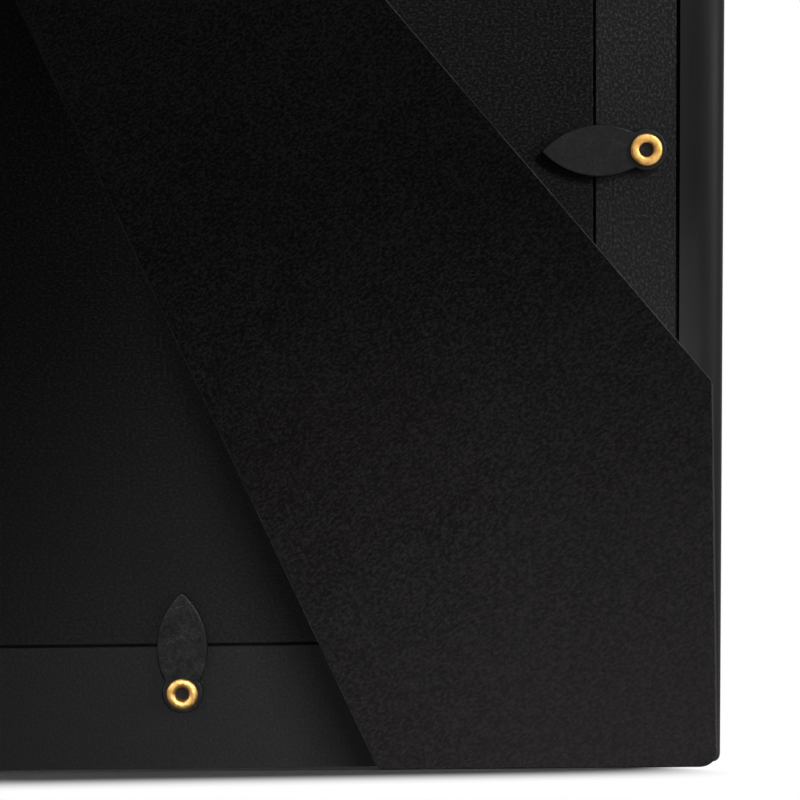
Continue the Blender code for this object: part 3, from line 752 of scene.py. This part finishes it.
def strut_outline(depth):
    """The strut's outline at one depth of its board. Its foot line lies on the floor."""
    slope = math.tan(STRUT_TAPER)
    row = SWING[2]
    foot_level = -(row[3] + row[1] * depth) / row[2]
    foot_slope = -row[0] / row[2]
    side_level = -(WIDTH / 2 - STRUT_SIDE_INSET + STRUT_ACROSS) / math.sin(STRUT_ANGLE)
    side_slope = -1 / math.tan(STRUT_ANGLE)
    foot_x = (STRUT_HALF_WIDTH - slope * foot_level) / (1 + slope * foot_slope)
    corner_x = (side_level - foot_level) / (foot_slope - side_slope)
    wide_x = -(STRUT_HALF_WIDTH - slope * side_level) / (1 - slope * side_slope)
    top = STRUT_HALF_WIDTH + slope * STRUT_TOP
    corners = [
        (top, -STRUT_TOP, STRUT_TOP_RADIUS),
        (foot_x, foot_level + foot_slope * foot_x, STRUT_FOOT_RADIUS),
        (corner_x, foot_level + foot_slope * corner_x, STRUT_CORNER_RADIUS),
        (wide_x, side_level + side_slope * wide_x, STRUT_SIDE_RADIUS),
        (-top, -STRUT_TOP, STRUT_TOP_RADIUS),
    ]
    return [Vector((x, depth, z)) for x, z in rounded(corners)]


def strut_board():
    """The board, with its cut edge in a material of its own."""
    mesh = loft("strut_cover", strut_outline(0.0), strut_outline(STRUT_BOARD))
    for face in mesh.polygons:
        face.material_index = 0 if len(face.vertices) > 4 else 1
    item = add("strut_cover", mesh, "strut", SWING, "strut_board")
    dress(item, strut_paper(), raw_edge(SWING))
    soften(item, STRUT_EDGE, segments=3, material=0)
    return even(smooth(bake_modifiers(item), angle=60.0))


# Pieces
strut_board()
rail_shade = rail_paint("rail_paint", 0.12)
# A duller copy of the rail paint: painted shade for the rails' outer side faces.
wall_painted_shade = rail_paint("rail_wall_painted_shade", 0.012)
for side, word in ((-1, "left"), (1, "right")):
    dress(side_rail(word, side), rail_shade, wall_painted_shade)
for end, word in ((-1, "bottom"), (1, "top")):
    dress(end_rail(word, end), rail_shade)
button_shade = button_paint()
# Copies of the coat for painted light: a lighter one for the painted highlight on the leaves'
# rims, and a darker, duller one for the painted shade on their edges.
rim_highlight_shade = painted_light_metal("button_rim_painted_highlight", (0.016, 0.0155, 0.016), (0.034, 0.033, 0.034), 0.13)
edge_painted_shade = painted_light_metal("button_edge_painted_shade", (0.0008, 0.0008, 0.0008), (0.0030, 0.0029, 0.0030), 0.015)
brass_shade = brass()
for seed, (word, place) in enumerate(BUTTONS.items()):
    dress(turn_button(word, place), button_shade, rim_highlight_shade, edge_painted_shade)
    dress(eyelet(word, place, seed * 7.7 + 1.3), brass_shade)
for node, body in (("hinge_door_leaf", "frame"), ("hinge_strut_leaf", "strut"),
                   ("door_rivet_left", "frame"), ("door_rivet_right", "frame"),
                   ("strut_rivet_left", "strut"), ("strut_rivet_right", "strut")):
    dress(refined(node, body), button_shade)
steel_shade = steel()
dress(refined("hinge_pin", "frame"), steel_shade)

# Solids that keep their own shape
nodes = frame["nodes"]
dress(nodes["backing_ring"], ring_paper())
dress(nodes["door_panel"], door_paper())
dress(nodes["backing_card"], grey_card())
dress(nodes["picture_sheet"], white_paper())
dress(nodes["glass"], clear_glass())
for name in ("bottom_left", "bottom_right", "top_left", "top_right"):
    dress(nodes["corner_key_" + name], steel_shade)


# Stage
def stage_plane(name, corners, shade):
    mesh = bpy.data.meshes.new(name)
    mesh.from_pydata(corners, [], [tuple(range(len(corners)))])
    item = new_object(name, mesh)
    item.data.materials.append(shade)


def seen_rays(tree):
    """1 for a ray that shows the background: from the camera, a reflection or through glass."""
    path = tree.nodes.new("ShaderNodeLightPath")
    seen = path.outputs["Is Camera Ray"]
    for ray in ("Is Glossy Ray", "Is Transmission Ray"):
        either = tree.nodes.new("ShaderNodeMath")
        either.operation = "MAXIMUM"
        tree.links.new(seen, either.inputs[0])
        tree.links.new(path.outputs[ray], either.inputs[1])
        seen = either.outputs["Value"]
    return seen


def floor_shade():
    """A pale floor that turns to plain white away from the object and its shadow."""
    shade = Shade("floor", Matrix.Identity(4))
    tree = shade.tree
    aside = shade.apart(ASIDE, 0.0)
    away = shade.apart(BACK, 0.0)
    beside = shade.combine(shade.combine(aside, FADE_ASIDE, "DIVIDE"), FADE_ASIDE_POWER, "POWER")
    slanted = shade.sum(shade.combine(away, FADE_AWAY, "DIVIDE"),
                        shade.combine(aside, FADE_TILT, "DIVIDE"))
    far = shade.sum(beside, slanted)
    ahead = shade.across(AHEAD, 0.0)
    mask = shade.combine(shade.spread(far, *FADE_RANGE, smooth=True),
                         shade.spread(ahead, *FADE_AHEAD, smooth=True), "MAXIMUM")
    mask = shade.times(mask, seen_rays(tree))
    glow = tree.nodes.new("ShaderNodeEmission")
    glow.inputs["Color"].default_value = WHITE
    glow.inputs["Strength"].default_value = 1.0
    mixer = tree.nodes.new("ShaderNodeMixShader")
    tree.links.new(mask, mixer.inputs["Fac"])
    tree.links.new(shade.shader.outputs["BSDF"], mixer.inputs[1])
    tree.links.new(glow.outputs["Emission"], mixer.inputs[2])
    output = tree.nodes["Material Output"]
    tree.links.new(mixer.outputs["Shader"], output.inputs["Surface"])
    shade.set(Base_Color=(0.32, 0.32, 0.32, 1.0), Roughness=0.9, Specular_IOR_Level=0.0)
    return shade.material


stage_plane("floor", [(x * FLOOR_HALF, y * FLOOR_HALF, 0.0)
                      for x, y in ((-1, -1), (1, -1), (1, 1), (-1, 1))], floor_shade())

# A world that is white where it is seen, and a weak light otherwise
world = bpy.data.worlds.new("studio")
bpy.context.scene.world = world
world.use_nodes = True
sky = world.node_tree
backdrop = sky.nodes["Background"]
backdrop.inputs["Color"].default_value = WHITE
level = sky.nodes.new("ShaderNodeMapRange")
level.inputs["To Min"].default_value = WORLD_LIGHT
level.inputs["To Max"].default_value = 1.0
sky.links.new(seen_rays(sky), level.inputs["Value"])
sky.links.new(level.outputs["Result"], backdrop.inputs["Strength"])


def lamp(name, place, aim, size, watts, spread=180.0):
    """A rectangular lamp that points from its place at its aim."""
    data = bpy.data.lights.new(name, "AREA")
    data.shape = "RECTANGLE"
    data.size, data.size_y = size
    data.energy = watts
    data.spread = math.radians(spread)
    item = new_object(name, data)
    item.location = place
    item.rotation_euler = (Vector(aim) - Vector(place)).to_track_quat("-Z", "Y").to_euler()


# Low lamps behind the object, where the photograph's light comes from
lamp("low", (-0.065, 0.37, 0.004), (-0.06, 0.04, -0.018),
     size=(0.12, 0.006), watts=0.0115, spread=42.0)
lamp("low_side", (-0.07, 0.37, 0.004), (-0.065, 0.04, -0.028),
     size=(0.06, 0.006), watts=0.124, spread=36.0)
lamp("low_middle", (0.05, 0.37, 0.004), (0.04, 0.0, -0.008),
     size=(0.05, 0.006), watts=0.0050, spread=40.0)
lamp("low_left", (0.27, 0.32, 0.004), (0.02, 0.0, -0.010),
     size=(0.06, 0.006), watts=0.0140, spread=34.0)

# Lamps on the side rail and the upper ring, and plain ones for the front and the top
lamp("upper_side", (-0.45, 0.6, 0.4), (-0.075, 0.0, 0.14),
     size=(0.10, 0.10), watts=0.060, spread=22.0)
lamp("side", (-0.9, 0.55, 0.12), (-0.084, 0.0, 0.10), size=(0.16, 0.3), watts=0.16, spread=30.0)
lamp("top_front", (-0.25, -0.45, 1.1), (-0.03, 0.05, 0.0), size=(0.2, 0.2), watts=5.0)
lamp("top", (0.0, 0.1, 1.2), (0.0, 0.0, 0.0), size=(0.25, 0.25), watts=0.4)
lamp("front", (0.4, -1.1, 0.8), (0.0, 0.0, 0.1), size=(1.6, 1.6), watts=14.0)

# Camera
camera_data = bpy.data.cameras.new("camera")
camera_data.lens = CAMERA_LENS
camera_data.sensor_width = CAMERA_SENSOR
camera_data.clip_start = CAMERA_CLIP
camera = new_object("camera", camera_data)
axes = Matrix((CAMERA_RIGHT, CAMERA_UP, CAMERA_BACK)).transposed()
camera.matrix_world = Matrix.Translation(CAMERA_PLACE) @ axes.to_4x4()
bpy.context.scene.camera = camera
bpy.context.scene.view_settings.view_transform = "Standard"

bpy.context.view_layer.update()
